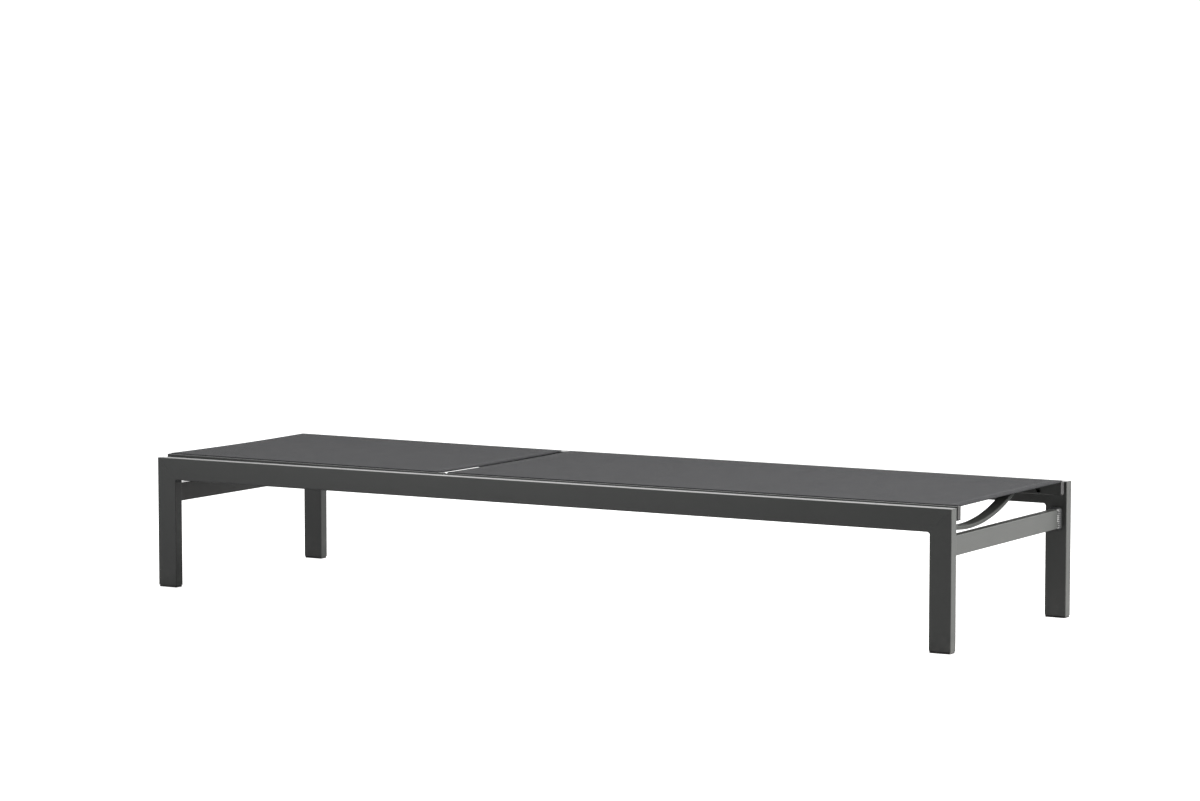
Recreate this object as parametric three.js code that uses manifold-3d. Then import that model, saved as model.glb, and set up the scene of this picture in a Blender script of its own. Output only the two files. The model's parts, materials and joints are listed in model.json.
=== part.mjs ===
// A reclining sun lounger: two welded side frames of rectangular tube joined by two crossbars,
// a fixed seat sling, a hinged backrest sling, and a folding stay that catches in two racks.
// Millimetres, Z up. X runs from the head end to the foot end, Y from the right side to the left.
// The origin is on the ground under the middle of the frame.
import * as THREE from "three";
import { mergeVertices } from "three/addons/utils/BufferGeometryUtils.js";
import Module from "manifold-3d";

const wasm = await Module();
wasm.setup();

// Overall sizes
const frameLength = 2000;
const frameWidth = 610;
const frameHeight = 298; // ground to the top of the side rails
const fitGap = 0.3; // between two pieces that touch

// Side frames: rails mitred and welded to the legs
const railDepth = 50;
const railThick = 25;
const legWidth = 50;
const frameWall = 2;
const frameEdge = 2; // radius of the tube's long edges
const cornerFillet = 6; // weld dressed round in the inner corner

// Plastic caps under the legs
const capPlate = 4;
const capInsert = 12;
const capBevel = 1;

// Crossbars between the legs
const crossbarDepth = 42;
const crossbarThick = 20;
const crossbarTop = 237.5;

// Side tubes of the seat and the backrest
const slingTubeDepth = 30;
const slingTubeThick = 15;
const slingTubeWall = 1.5;
const slingTubeEdge = 2.5;
const slingTubeRise = 2; // tube top above rail top
const sideGap = 10; // between rail and side tube
const plugHead = 3;
const plugInsert = 12;
const plugBevel = 1;

// Slings
const slingThick = 1.5;
const slingLap = 10; // sling over the top of a side tube
const seatSlingFoot = 5; // sling's corner in from the frame's end
const seatSlingHollow = 8; // how far the free edge curves in
const slingFromTubeEnd = 8; // backrest sling in from the head end of its tubes

// Seat
const seatStart = -240;
const seatFootInset = 2; // tube end in from the frame's end
const seatSlingStart = 2; // sling's edge behind the start of the tubes

// Backrest
const hingeToSeat = 35; // from the hinge to the start of the seat tubes
const hingeTail = 28; // tube beyond the hinge
const backrestHeadInset = 1; // tube end in from the frame's end
const hingeToSling = 12;
const restTilt = THREE.MathUtils.degToRad(0.28); // the backrest lies on its stops a little high

// Bows: oval spreader tubes that curve down clear of the slings
const bowWide = 27;
const bowHigh = 9.5;
const bowWall = 1.5;
const bowDrop = 63.5; // from its ends to its middle
const bowEndBelowTop = 12; // its middle line at the ends, under the tube's top
const seatFootBow = 111; // in from the tube's foot end
const seatHingeBow = 90; // in from the tube's hinge end
const backHingeBow = 55; // from the hinge
const backHeadBow = 99; // in from the tube's head end

// Bolts with their rivet nuts
const seatBoltAboveBottom = 10; // in the height of the seat tube
const seatBoltFromFoot = 54;
const seatBoltFromStart = 56;
const seatBolt = { shank: 6, head: 10.5, headHigh: 3.3, nut: 9, nutLong: 9 };
const hingeBolt = { shank: 8, head: 16, headHigh: 4, nut: 12, nutLong: 11 };
const boltPlay = 0.6; // hole over shank
const accessHole = 12;
const spacerWall = 4;
const bushWall = 5;

// Stay: two arms and a bar, pivoted on lugs under the backrest
const stayBarFromHead = 64; // bar in from the head end of the backrest tubes
const armHigh = 12;
const armThick = 6;
const armUnderTube = 0.5;
const armWall = 3; // about the bar
const stayBar = 10;
const sleeveWall = 1;
const sleeveLong = 5.4;
const lugThick = 4;
const lugWide = 28;
const lugWall = 5; // about the pin
const pin = { shank: 6, head: 10, headHigh: 2.4 };

// Racks on the rails
const rackThick = 3;
const rackWeb = 2.5; // under its lowest notch
const rackPathGap = 0.8; // tooth tips under the sleeve
const rackEnd = 13; // beyond its last notches
const notchDrop = 5.6; // the sleeve sits this far under its path
const stopAngles = [0, 16, 30, 44, 57, 70];

// Stops under the head end of the backrest tubes
const stopFromStay = 5; // between the stop and the end of the stay's arm
const stopRound = 14;

// Places worked out from the sizes above
const halfLength = frameLength / 2;
const railInner = frameWidth / 2 - railThick;
const railMiddle = frameWidth / 2 - railThick / 2;
const railBottom = frameHeight - railDepth;
const slingTubeOuter = railInner - sideGap;
const slingTubeInner = slingTubeOuter - slingTubeThick;
const slingTubeMiddle = slingTubeOuter - slingTubeThick / 2;
const slingTubeTop = frameHeight + slingTubeRise;
const slingTubeLevel = slingTubeTop - slingTubeDepth / 2;
const slingTubeBottom = slingTubeTop - slingTubeDepth;
const slingHalf = slingTubeInner + slingLap;
const hingeX = seatStart - hingeToSeat;
const hingeZ = slingTubeLevel;
const seatEnd = halfLength - seatFootInset;
const backrestEnd = -halfLength + backrestHeadInset;
const stayReach = (hingeX - backrestEnd - stayBarFromHead) / 2; // hinge to pivot, and pivot to bar
const stayBelowHinge = slingTubeDepth / 2 + armUnderTube + armHigh / 2;
const armBoss = stayBar + 2 * armWall;
const sleeveOuter = stayBar + 2 * sleeveWall;
const pivotX = hingeX - stayReach;
const pivotZ = hingeZ - stayBelowHinge;
const armInner = slingTubeInner + fitGap + lugThick + fitGap;

// Finishes
const finishes = {
  frame: new THREE.MeshStandardMaterial({ color: 0x44464a, roughness: 0.45, metalness: 0.3 }),
  plastic: new THREE.MeshStandardMaterial({ color: 0x17181a, roughness: 0.6, metalness: 0 }),
  sling: new THREE.MeshStandardMaterial({ color: 0x3c3e42, roughness: 0.8, metalness: 0 }),
  steel: new THREE.MeshStandardMaterial({ color: 0x9a9c9e, roughness: 0.35, metalness: 1 }),
  rubber: new THREE.MeshStandardMaterial({ color: 0x111112, roughness: 0.85, metalness: 0 }),
};

// Helpers: three.js geometry to a solid that can be cut and joined, and back
function solidOf(geometry) {
  const bare = geometry.clone();
  bare.deleteAttribute("normal");
  bare.deleteAttribute("uv");
  const merged = mergeVertices(bare, 1e-3);
  return new wasm.Manifold(
    new wasm.Mesh({
      numProp: 3,
      vertProperties: merged.attributes.position.array,
      triVerts: new Uint32Array(merged.index.array),
    }),
  );
}

function geometryOf(solid) {
  const { vertProperties, triVerts } = solid.getMesh();
  const geometry = new THREE.BufferGeometry();
  geometry.setAttribute("position", new THREE.BufferAttribute(vertProperties, 3));
  geometry.setIndex(new THREE.BufferAttribute(triVerts, 1));
  geometry.computeVertexNormals();
  return geometry;
}

function piece(group, name, solid, finish) {
  const mesh = new THREE.Mesh(geometryOf(solid), finishes[finish].clone());
  mesh.name = name;
  group.add(mesh);
}

// A rectangle of two sizes about the origin with round corners
function roundRect(wide, high, radius) {
  const x = wide / 2 - radius;
  const y = high / 2 - radius;
  const shape = new THREE.Shape();
  shape.absarc(x, y, radius, 0, Math.PI / 2);
  shape.absarc(-x, y, radius, Math.PI / 2, Math.PI);
  shape.absarc(-x, -y, radius, Math.PI, 1.5 * Math.PI);
  shape.absarc(x, -y, radius, 1.5 * Math.PI, 2 * Math.PI);
  shape.closePath();
  return shape;
}

// The section of a rectangular tube, with its hollow
function tubeSection(wide, high, wall, radius) {
  const section = roundRect(wide, high, radius);
  const inner = Math.max(radius - wall, 0.5);
  section.holes.push(roundRect(wide - 2 * wall, high - 2 * wall, inner));
  return section;
}

// A section drawn along X, from one place to another: its first size is upright, its second across
function alongX(section, from, to, y, z) {
  const g = new THREE.ExtrudeGeometry(section, { depth: to - from, bevelEnabled: false, curveSegments: 1 });
  return solidOf(g.rotateY(Math.PI / 2).translate(from, y, z));
}

// A section drawn along Y: its first size is along X, its second upright
function alongY(section, from, to, x, z) {
  const g = new THREE.ExtrudeGeometry(section, { depth: to - from, bevelEnabled: false, curveSegments: 1 });
  return solidOf(g.rotateX(-Math.PI / 2).translate(x, from, z));
}

// A section drawn along Z: its first size is along X, its second along Y
function alongZ(section, from, to, x, y) {
  const g = new THREE.ExtrudeGeometry(section, { depth: to - from, bevelEnabled: false, curveSegments: 1 });
  return solidOf(g.translate(x, y, from));
}

// An outline in the upright plane of X and Z, between two places in Y
function plateXZ(outline, y0, y1, arcSteps = 4) {
  const low = Math.min(y0, y1);
  const high = Math.max(y0, y1);
  const g = new THREE.ExtrudeGeometry(outline, {
    depth: high - low,
    bevelEnabled: false,
    curveSegments: arcSteps,
  });
  return solidOf(g.rotateX(Math.PI / 2).translate(0, high, 0));
}

// A round bar along Y between two places
function roundY(diameter, y0, y1, x, z, sides = 16) {
  const g = new THREE.CylinderGeometry(diameter / 2, diameter / 2, Math.abs(y1 - y0), sides);
  return solidOf(g.translate(x, (y0 + y1) / 2, z));
}

function polygon(points) {
  return new THREE.Shape(points.map(([x, z]) => new THREE.Vector2(x, z)));
}

// A rounded plate with bevelled rims, drawn up from the origin along Z
function bevelledPlate(wide, high, radius, thick, bevel) {
  const g = new THREE.ExtrudeGeometry(roundRect(wide - 2 * bevel, high - 2 * bevel, radius), {
    depth: thick - 2 * bevel,
    bevelThickness: bevel,
    bevelSize: bevel,
    bevelSegments: 1,
    curveSegments: 1,
  });
  return g.translate(0, 0, bevel);
}

// One half of the mitre at a corner: what lies above the joint line belongs to the rail,
// what lies below it belongs to the leg. The line runs on past the inner corner into the fillet.
function mitreHalf(end, forRail) {
  const run = Math.hypot(legWidth, railDepth);
  const shift = (((forRail ? 1 : -1) * fitGap) / 2) * (run / railDepth);
  const beyond = cornerFillet / railDepth;
  const onLine = (t) => [
    end * (halfLength - t * legWidth - shift),
    frameHeight - t * railDepth,
  ];
  const outer = onLine(-beyond);
  const inner = onLine(1 + beyond);
  const far = forRail
    ? [[0, inner[1]], [0, outer[1]]]
    : [[inner[0], -1], [end * (halfLength + legWidth), -1], [end * (halfLength + legWidth), outer[1]]];
  const points = [outer, inner, ...far];
  return plateXZ(polygon(end > 0 ? points : points.reverse()), -frameWidth, frameWidth);
}

// The dressed weld that rounds the inner corner between rail and leg
function filletSolid(end, side) {
  const cornerX = end * (halfLength - legWidth);
  const cx = cornerX - end * cornerFillet;
  const cz = railBottom - cornerFillet;
  const half = railThick / 2 - frameEdge;
  const lap = frameWall / 2;
  const outline = new THREE.Shape();
  outline.moveTo(cx, railBottom + lap);
  outline.lineTo(cx, railBottom);
  outline.absarc(cx, cz, cornerFillet, Math.PI / 2, end > 0 ? 0 : Math.PI, end > 0);
  outline.lineTo(cornerX + end * lap, cz);
  outline.lineTo(cornerX + end * lap, railBottom + lap);
  outline.closePath();
  return plateXZ(outline, side * railMiddle - half, side * railMiddle + half, 2);
}

// A hole along Y through what stands at a place
function drill(solid, diameter, y0, y1, x, z) {
  return solid.subtract(roundY(diameter, y0, y1, x, z));
}

const sideName = (side) => (side > 0 ? "left" : "right");
const endName = (end) => (end > 0 ? "foot" : "head");
const lastBoltX = seatEnd - seatBoltFromFoot;
const firstBoltX = seatStart + seatBoltFromStart;
const seatBoltX = [lastBoltX, (lastBoltX + firstBoltX) / 2, firstBoltX];
const seatBoltZ = slingTubeBottom + seatBoltAboveBottom;
const stopX = hingeX - 2 * stayReach - armBoss / 2 - stopFromStay - stopRound / 2;
const stopZ = slingTubeBottom + (hingeX - stopX) * Math.tan(restTilt) - fitGap - stopRound / 2;

// Where the stay's bar stands when the backrest is raised by an angle
function barAt(angle) {
  return {
    x: hingeX - 2 * stayReach * Math.cos(angle) - stayBelowHinge * Math.sin(angle),
    z: hingeZ - stayBelowHinge * Math.cos(angle),
  };
}

function makeRail(group, side) {
  const section = tubeSection(railDepth, railThick, frameWall, frameEdge);
  let rail = alongX(section, -halfLength, halfLength, side * railMiddle, frameHeight - railDepth / 2);
  const keep = mitreHalf(1, true).add(mitreHalf(-1, true));
  for (const end of [1, -1]) rail = rail.add(filletSolid(end, side));
  rail = rail.intersect(keep);
  const inside = side * (railInner - 1);
  const pastWall = side * (railInner + frameWall + 1);
  for (const x of seatBoltX)
    rail = drill(rail, seatBolt.shank + boltPlay, inside, pastWall, x, seatBoltZ);
  rail = drill(rail, hingeBolt.shank + boltPlay, inside, pastWall, hingeX, hingeZ);
  rail = drill(rail, seatBolt.shank + boltPlay, inside, pastWall, stopX, stopZ);
  piece(group, `${sideName(side)}_rail`, rail, "frame");
}

function makeLeg(group, end, side) {
  const section = tubeSection(legWidth, railThick, frameWall, frameEdge);
  const x = end * (halfLength - legWidth / 2);
  const leg = alongZ(section, capPlate + fitGap, frameHeight, x, side * railMiddle)
    .add(filletSolid(end, side))
    .intersect(mitreHalf(end, false));
  piece(group, `${endName(end)}_${sideName(side)}_leg`, leg, "frame");
}

function makeFootCap(group, end, side) {
  const x = end * (halfLength - legWidth / 2);
  const y = side * railMiddle;
  const plate = bevelledPlate(legWidth - 1, railThick - 1, frameEdge, capPlate, capBevel);
  const inner = 2 * (frameWall + fitGap);
  const insert = roundRect(legWidth - inner, railThick - inner, 1);
  const cap = solidOf(plate.translate(x, y, 0))
    .add(alongZ(insert, capPlate / 2, capPlate + capInsert, x, y));
  piece(group, `${endName(end)}_${sideName(side)}_foot_cap`, cap, "plastic");
}

function makeCrossbar(group, end) {
  const section = tubeSection(crossbarThick, crossbarDepth, frameWall, frameEdge);
  const x = end * (halfLength - legWidth / 2);
  const half = railInner - fitGap;
  const bar = alongY(section, -half, half, x, crossbarTop - crossbarDepth / 2);
  piece(group, `${endName(end)}_crossbar`, bar, "frame");
}

// A plastic plug in the end of a side tube; facing is +1 where it closes the foot end of the tube
function makePlug(group, name, side, endX, facing) {
  const y = side * slingTubeMiddle;
  const head = bevelledPlate(slingTubeDepth, slingTubeThick, slingTubeEdge - plugBevel, plugHead, plugBevel);
  head.rotateY(Math.PI / 2).translate(facing > 0 ? endX - plugHead : endX, y, slingTubeLevel);
  const inner = 2 * (slingTubeWall + fitGap);
  const insert = roundRect(slingTubeDepth - inner, slingTubeThick - inner, 1);
  const from = endX - facing * (plugHead / 2);
  const to = endX - facing * (plugHead + plugInsert);
  const stem = alongX(insert, Math.min(from, to), Math.max(from, to), y, slingTubeLevel);
  piece(group, name, solidOf(head).add(stem), "plastic");
}

// A side tube of the seat or the backrest, between the outer ends of its two plugs
function slingTube(side, from, to) {
  const section = tubeSection(slingTubeDepth, slingTubeThick, slingTubeWall, slingTubeEdge);
  const inset = plugHead + fitGap;
  return alongX(section, from + inset, to - inset, side * slingTubeMiddle, slingTubeLevel);
}

// The middle line of a bow: an arc in the upright plane across the lounger
class BowLine extends THREE.Curve {
  constructor(x) {
    super();
    this.x = x;
    this.radius = (slingTubeInner ** 2 + bowDrop ** 2) / (2 * bowDrop);
    this.reach = Math.asin((slingTubeInner + bowHigh) / this.radius);
    this.middleZ = slingTubeTop - bowEndBelowTop - bowDrop;
  }
  getPoint(t) {
    const a = (2 * t - 1) * this.reach;
    return new THREE.Vector3(
      this.x,
      this.radius * Math.sin(a),
      this.middleZ + this.radius * (1 - Math.cos(a)),
    );
  }
}

function makeBow(group, name, x) {
  const section = tubeSection(bowWide, bowHigh, bowWall, bowHigh / 2 - 0.2);
  const g = new THREE.ExtrudeGeometry(section, {
    extrudePath: new BowLine(x),
    steps: 12,
    curveSegments: 1,
  });
  const half = slingTubeInner - fitGap;
  const between = new THREE.BoxGeometry(2 * bowWide, 2 * half, 2 * frameHeight).translate(x, 0, 0);
  piece(group, name, solidOf(g).intersect(solidOf(between)), "frame");
}

function makeBolt(group, name, side, size, headAt, x, z) {
  const wallEnd = railInner + frameWall + fitGap;
  const head = roundY(size.head, side * (headAt - size.headHigh), side * headAt, x, z);
  const shank = roundY(size.shank, side * (headAt - 1), side * (wallEnd + 1), x, z);
  const nut = roundY(size.nut, side * wallEnd, side * (wallEnd + size.nutLong), x, z);
  piece(group, name, head.add(shank).add(nut), "steel");
}

// A ring along Y that fills the gap between a side tube and its rail
function makeSpacer(group, name, side, wall, hole, x, z) {
  const from = side * (slingTubeOuter + fitGap);
  const to = side * (railInner - fitGap);
  const ring = roundY(hole + 2 * wall, from, to, x, z);
  piece(group, name, drill(ring, hole, from - side, to + side, x, z), "plastic");
}

function makeSeat(group) {
  for (const side of [1, -1]) {
    const name = `seat_${sideName(side)}`;
    let tube = slingTube(side, seatStart, seatEnd);
    for (const x of seatBoltX) {
      const middle = side * slingTubeMiddle;
      tube = drill(tube, seatBolt.shank + boltPlay, middle, side * (slingTubeOuter + 1), x, seatBoltZ);
      tube = drill(tube, accessHole, side * (slingTubeInner - 1), middle, x, seatBoltZ);
    }
    piece(group, `${name}_tube`, tube, "frame");
    makePlug(group, `${name}_foot_plug`, side, seatEnd, 1);
    makePlug(group, `${name}_hinge_plug`, side, seatStart, -1);
    seatBoltX.forEach((x, i) => {
      const headAt = slingTubeOuter - slingTubeWall - fitGap;
      makeBolt(group, `${name}_bolt_${i + 1}`, side, seatBolt, headAt, x, seatBoltZ);
      const hole = seatBolt.shank + boltPlay;
      makeSpacer(group, `${name}_spacer_${i + 1}`, side, spacerWall, hole, x, seatBoltZ);
    });
  }
  makeBow(group, "seat_foot_bow", seatEnd - seatFootBow);
  makeBow(group, "seat_hinge_bow", seatStart + seatHingeBow);
}

function makeSeatSling(group) {
  const start = seatStart + seatSlingStart;
  const end = halfLength - seatSlingFoot;
  const radius = (slingHalf ** 2 + seatSlingHollow ** 2) / (2 * seatSlingHollow);
  const reach = Math.asin(slingHalf / radius);
  const outline = new THREE.Shape();
  outline.moveTo(start, slingHalf);
  outline.lineTo(start, -slingHalf);
  outline.lineTo(end, -slingHalf);
  outline.absarc(end - seatSlingHollow + radius, 0, radius, Math.PI + reach, Math.PI - reach, true);
  outline.closePath();
  const g = new THREE.ExtrudeGeometry(outline, { depth: slingThick, bevelEnabled: false, curveSegments: 4 });
  piece(group, "seat_sling", solidOf(g.translate(0, 0, slingTubeTop + fitGap)), "sling");
}

function makeRack(group, side) {
  const flat = barAt(0);
  const raised = barAt(THREE.MathUtils.degToRad(stopAngles.at(-1)));
  const slope = (raised.z - flat.z) / (raised.x - flat.x);
  const tips = sleeveOuter / 2 + rackPathGap;
  const tipAt = (x) => flat.z + (x - flat.x) * slope - tips;
  const head = flat.x - rackEnd;
  const foot = raised.x + rackEnd;
  const notch = sleeveOuter + boltPlay;
  const low = flat.z - notchDrop - notch / 2 - rackWeb;
  const y0 = side * (railInner - fitGap - rackThick);
  const y1 = side * (railInner - fitGap);
  let rack = plateXZ(polygon([[head, low], [foot, low], [foot, tipAt(foot)], [head, tipAt(head)]]), y0, y1);
  for (const angle of stopAngles) {
    const bar = barAt(THREE.MathUtils.degToRad(angle));
    rack = drill(rack, notch, y0 - side, y1 + side, bar.x, bar.z - notchDrop);
  }
  piece(group, `${sideName(side)}_rack`, rack, "frame");
}

function makeRestStop(group, side) {
  const from = side * (slingTubeInner + 1);
  const face = side * (railInner - fitGap);
  const wallEnd = side * (railInner + frameWall + fitGap);
  const buffer = roundY(stopRound, from, face, stopX, stopZ);
  const stud = roundY(seatBolt.shank, face - side, wallEnd + side, stopX, stopZ);
  const nut = roundY(seatBolt.nut, wallEnd, wallEnd + side * seatBolt.nutLong, stopX, stopZ);
  piece(group, `${sideName(side)}_rest_stop`, buffer.add(stud).add(nut), "rubber");
}

function makeBackrest(group) {
  const tail = hingeX + hingeTail;
  for (const side of [1, -1]) {
    const name = `backrest_${sideName(side)}`;
    let tube = slingTube(side, backrestEnd, tail);
    const hole = hingeBolt.shank + boltPlay;
    tube = drill(tube, hole, side * (slingTubeInner - 1), side * (slingTubeOuter + 1), hingeX, hingeZ);
    piece(group, `${name}_tube`, tube, "frame");
    makePlug(group, `${name}_head_plug`, side, backrestEnd, -1);
    makePlug(group, `${name}_hinge_plug`, side, tail, 1);
    makeLug(group, `${name}_stay_lug`, side);
    makePin(group, `${name}_stay_pin`, side);
  }
  makeBow(group, "backrest_head_bow", backrestEnd + backHeadBow);
  makeBow(group, "backrest_hinge_bow", hingeX - backHingeBow);
  const from = backrestEnd + slingFromTubeEnd;
  const sheet = new THREE.BoxGeometry(hingeX + hingeToSling - from, 2 * slingHalf, slingThick);
  const middle = (hingeX + hingeToSling + from) / 2;
  sheet.translate(middle, 0, slingTubeTop + fitGap + slingThick / 2);
  piece(group, "backrest_sling", solidOf(sheet), "sling");
}

// A lug welded under a backrest tube, with a round boss about the stay's pivot
function makeLug(group, name, side) {
  const top = slingTubeBottom - fitGap;
  const boss = pin.shank / 2 + lugWall;
  const outline = new THREE.Shape();
  outline.moveTo(pivotX - lugWide / 2, top);
  outline.lineTo(pivotX - boss, pivotZ);
  outline.absarc(pivotX, pivotZ, boss, Math.PI, 2 * Math.PI);
  outline.lineTo(pivotX + lugWide / 2, top);
  outline.closePath();
  const inner = side * (slingTubeInner + fitGap);
  const outer = side * (slingTubeInner + fitGap + lugThick);
  const lug = plateXZ(outline, inner, outer);
  piece(group, name, drill(lug, pin.shank + boltPlay, inner - side, outer + side, pivotX, pivotZ), "frame");
}

// The pivot pin through lug and arm, with a head inside and a clip outside
function makePin(group, name, side) {
  const headAt = slingTubeInner;
  const clipAt = armInner + armThick + fitGap;
  const head = roundY(pin.head, side * (headAt - pin.headHigh), side * headAt, pivotX, pivotZ);
  const shank = roundY(pin.shank, side * (headAt - 1), side * (clipAt + 1), pivotX, pivotZ);
  const clip = roundY(pin.head, side * clipAt, side * (clipAt + pin.headHigh), pivotX, pivotZ);
  piece(group, name, head.add(shank).add(clip), "steel");
}

function makeStay(group) {
  const bar = barAt(0);
  const barEnd = railInner - 2 * fitGap;
  piece(group, "stay_bar", roundY(stayBar, -barEnd, barEnd, bar.x, bar.z), "steel");
  for (const side of [1, -1]) {
    const y0 = side * armInner;
    const y1 = side * (armInner + armThick);
    const lean = Math.asin((armBoss - armHigh) / 2 / stayReach);
    const outline = new THREE.Shape();
    outline.absarc(pivotX, pivotZ, armHigh / 2, -Math.PI / 2 + lean, Math.PI / 2 - lean);
    outline.absarc(bar.x, bar.z, armBoss / 2, Math.PI / 2 - lean, 1.5 * Math.PI + lean);
    outline.closePath();
    let arm = plateXZ(outline, y0, y1);
    arm = drill(arm, pin.shank + boltPlay, y0 - side, y1 + side, pivotX, pivotZ);
    arm = drill(arm, stayBar + boltPlay, y0 - side, y1 + side, bar.x, bar.z);
    piece(group, `stay_${sideName(side)}_arm`, arm, "frame");
    const from = side * (barEnd - sleeveLong);
    const sleeve = roundY(sleeveOuter, from, side * barEnd, bar.x, bar.z);
    const hole = drill(sleeve, stayBar + boltPlay, from - side, side * (barEnd + 1), bar.x, bar.z);
    piece(group, `stay_${sideName(side)}_sleeve`, hole, "plastic");
  }
}

// A group that turns what is drawn level about an axis along Y
function turnedAbout(x, z, angle, atX = x, atZ = z) {
  const turned = new THREE.Group();
  turned.position.set(atX, 0, atZ);
  turned.rotation.y = angle;
  const level = new THREE.Group();
  level.position.set(-x, 0, -z);
  turned.add(level);
  return { turned, level };
}

const lounger = new THREE.Group();
for (const side of [1, -1]) {
  makeRail(lounger, side);
  makeRack(lounger, side);
  makeRestStop(lounger, side);
  for (const end of [1, -1]) {
    makeLeg(lounger, end, side);
    makeFootCap(lounger, end, side);
  }
  const hole = hingeBolt.shank + boltPlay;
  const name = `hinge_${sideName(side)}`;
  makeSpacer(lounger, `${name}_bush`, side, bushWall, hole, hingeX, hingeZ);
  makeBolt(lounger, `${name}_bolt`, side, hingeBolt, slingTubeInner - fitGap, hingeX, hingeZ);
}
makeCrossbar(lounger, 1);
makeCrossbar(lounger, -1);
makeSeat(lounger);
makeSeatSling(lounger);

// The backrest turns about its hinge and the stay about its pivot, by as much the other way
const backrest = turnedAbout(hingeX, hingeZ, restTilt);
makeBackrest(backrest.level);
lounger.add(backrest.turned);
const pivot = new THREE.Vector3(-stayReach, 0, -stayBelowHinge)
  .applyAxisAngle(new THREE.Vector3(0, 1, 0), restTilt)
  .add(new THREE.Vector3(hingeX, 0, hingeZ));
const stay = turnedAbout(pivotX, pivotZ, -restTilt, pivot.x, pivot.z);
makeStay(stay.level);
lounger.add(stay.turned);

export default lounger;
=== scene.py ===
import json
import math

import bmesh
import bpy
from mathutils import Matrix, Vector


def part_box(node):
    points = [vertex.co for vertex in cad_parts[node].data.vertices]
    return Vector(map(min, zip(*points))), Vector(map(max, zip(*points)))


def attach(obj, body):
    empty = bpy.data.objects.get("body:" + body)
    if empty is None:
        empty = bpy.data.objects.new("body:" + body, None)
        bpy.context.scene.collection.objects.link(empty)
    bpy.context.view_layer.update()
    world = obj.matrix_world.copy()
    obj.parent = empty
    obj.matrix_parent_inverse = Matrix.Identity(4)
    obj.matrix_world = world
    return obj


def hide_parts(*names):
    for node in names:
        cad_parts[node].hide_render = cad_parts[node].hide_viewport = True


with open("model.json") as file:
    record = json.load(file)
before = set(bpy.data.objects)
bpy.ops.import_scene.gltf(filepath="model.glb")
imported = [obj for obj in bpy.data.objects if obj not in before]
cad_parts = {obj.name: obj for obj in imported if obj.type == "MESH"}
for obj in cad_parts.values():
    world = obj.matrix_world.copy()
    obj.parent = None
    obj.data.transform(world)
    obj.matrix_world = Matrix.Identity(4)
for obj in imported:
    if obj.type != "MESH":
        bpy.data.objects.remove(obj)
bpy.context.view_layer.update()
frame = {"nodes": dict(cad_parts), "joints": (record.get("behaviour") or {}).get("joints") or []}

sides = {"left": 1, "right": -1}
ends = {"foot": 1, "head": -1}
mm = 0.001

# The backrest lies a little high on its stops, and the stay leans by as much the other way.
restTilt = math.radians(0.28)
joints = {joint["name"]: Vector(joint["pos_m"]) for joint in frame["joints"]}
hinge = joints["recline"]
pivot = joints["stay_fold"]
lean = {"frame": (hinge, 0.0), "backrest": (hinge, restTilt), "stay": (pivot, -restTilt)}


def leanMatrix(body):
    centre, angle = lean[body]
    turn = Matrix.Rotation(angle, 4, "Y")
    return Matrix.Translation(centre) @ turn @ Matrix.Translation(-centre)


# A node's corners with its body laid level, so that pieces are built square and leaned at the end.
def levelBox(node, body):
    level = leanMatrix(body).inverted()
    points = [level @ vertex.co for vertex in frame["nodes"][node].data.vertices]
    low = Vector([min(point[k] for point in points) for k in range(3)])
    high = Vector([max(point[k] for point in points) for k in range(3)])
    return low, high


# Small helpers for working by operator.

def deselectAll():
    if bpy.context.object and bpy.context.object.mode != "OBJECT":
        bpy.ops.object.mode_set(mode="OBJECT")
    bpy.ops.object.select_all(action="DESELECT")


def makeActive(piece):
    deselectAll()
    bpy.context.view_layer.objects.active = piece
    piece.select_set(True)


def startEdit(piece, selectMode="FACE"):
    makeActive(piece)
    bpy.ops.object.mode_set(mode="EDIT")
    bpy.ops.mesh.select_mode(type=selectMode)
    bpy.ops.mesh.select_all(action="DESELECT")


def endEdit():
    bpy.ops.object.mode_set(mode="OBJECT")


def pickFaces(test):
    mesh = bmesh.from_edit_mesh(bpy.context.object.data)
    bpy.ops.mesh.select_all(action="DESELECT")
    for face in mesh.faces:
        if test(face):
            face.select_set(True)
    bmesh.update_edit_mesh(bpy.context.object.data)


def pickEdges(test):
    mesh = bmesh.from_edit_mesh(bpy.context.object.data)
    bpy.ops.mesh.select_all(action="DESELECT")
    for edge in mesh.edges:
        if test(edge.verts[0].co, edge.verts[1].co):
            edge.select_set(True)
    bmesh.update_edit_mesh(bpy.context.object.data)


def placeApply(piece):
    makeActive(piece)
    bpy.ops.object.transform_apply(location=True, rotation=True, scale=True)


def addModifier(piece, kind, **values):
    makeActive(piece)
    modifier = piece.modifiers.new(kind.lower(), kind)
    for key, value in values.items():
        setattr(modifier, key, value)
    bpy.ops.object.modifier_apply(modifier=modifier.name)


def newBox(name, low, high):
    deselectAll()
    middle = (Vector(low) + Vector(high)) / 2
    size = Vector(high) - Vector(low)
    bpy.ops.mesh.primitive_cube_add(size=1, location=middle, scale=size)
    piece = bpy.context.object
    piece.name = name
    placeApply(piece)
    return piece


def copyOf(piece, name):
    makeActive(piece)
    bpy.ops.object.duplicate(linked=False)
    copy = bpy.context.object
    copy.name = name
    return copy


def joinPieces(name, pieces):
    deselectAll()
    for piece in pieces:
        piece.select_set(True)
    bpy.context.view_layer.objects.active = pieces[0]
    bpy.ops.object.join()
    pieces[0].name = name
    return pieces[0]


def smoothBy(piece, degrees):
    makeActive(piece)
    bpy.ops.object.shade_smooth_by_angle(angle=math.radians(degrees))


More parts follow.
